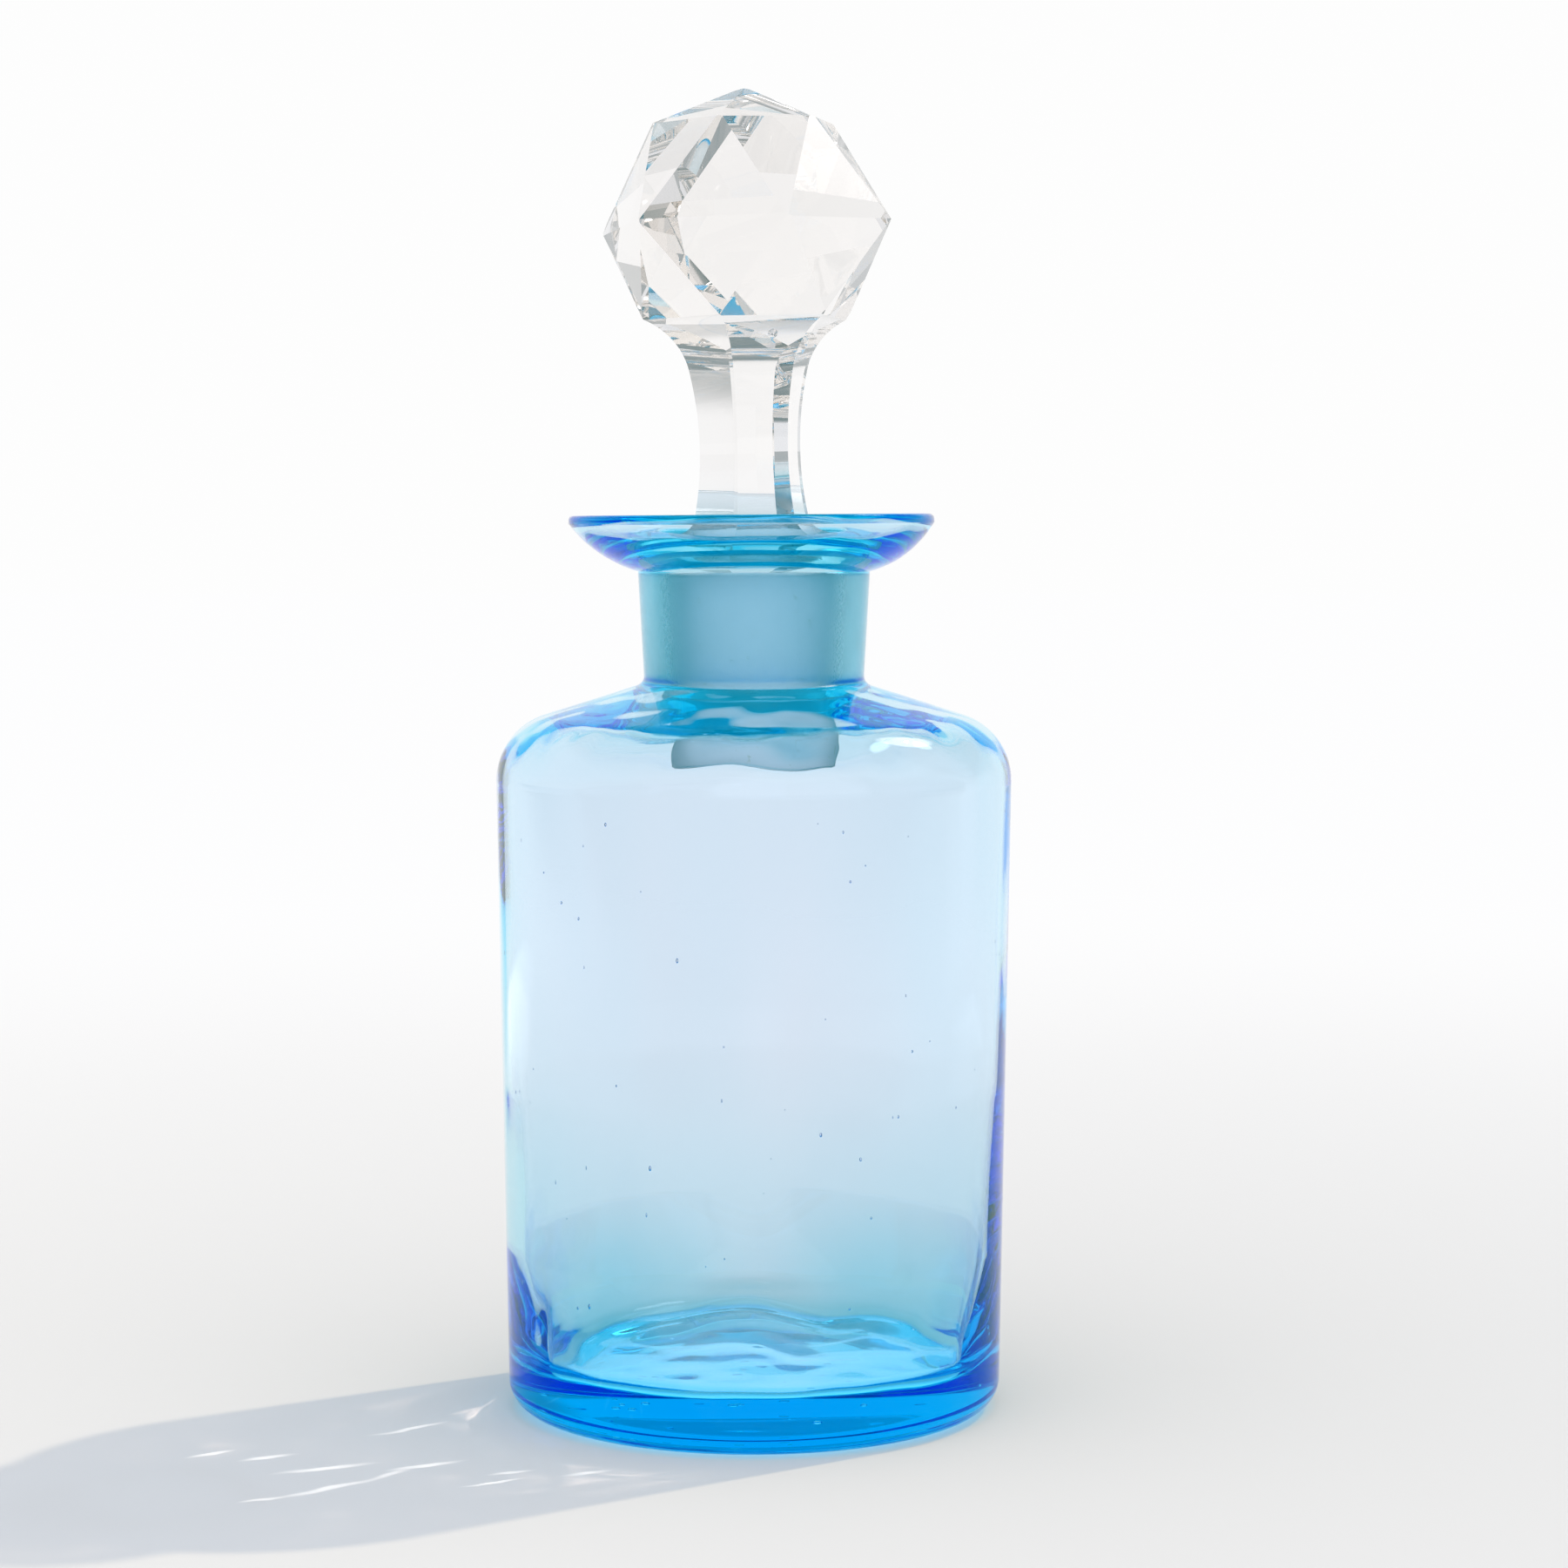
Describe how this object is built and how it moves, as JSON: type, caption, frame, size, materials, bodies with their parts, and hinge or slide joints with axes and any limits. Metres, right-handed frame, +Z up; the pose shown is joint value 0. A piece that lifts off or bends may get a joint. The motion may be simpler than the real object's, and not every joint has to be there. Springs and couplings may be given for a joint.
{
  "type": "stoppered bottle",
  "caption": "Pale blue blown glass apothecary bottle with a flared dish lip, closed by a solid clear cut-glass stopper with a faceted ball head.",
  "frame": {"origin": "centre of the plane that the bottle stands on, on the bottle's axis", "axes": "+Z up the bottle's axis, through the neck and the stopper; -Y is the side that faces the viewer in the usual view; +X is to that viewer's right"},
  "size_m": [0.0756, 0.0756, 0.1934],
  "materials": {
    "blue_glass": "transparent sapphire-blue blown glass, fire-polished, with small seeds and slow waves in the wall",
    "clear_glass": "clear colourless cut glass, polished facets and flutes, ground frosted shank"
  },
  "bodies": {
    "bottle": {"bottle": "blue_glass"},
    "stopper": {"stopper": "clear_glass"}
  },
  "joints": [
    {"name": "stopper_lift", "type": "slide", "parent": "bottle", "child": "stopper", "axis": [0, 0, 1], "range_m": [0, 0.045]}
  ]
}
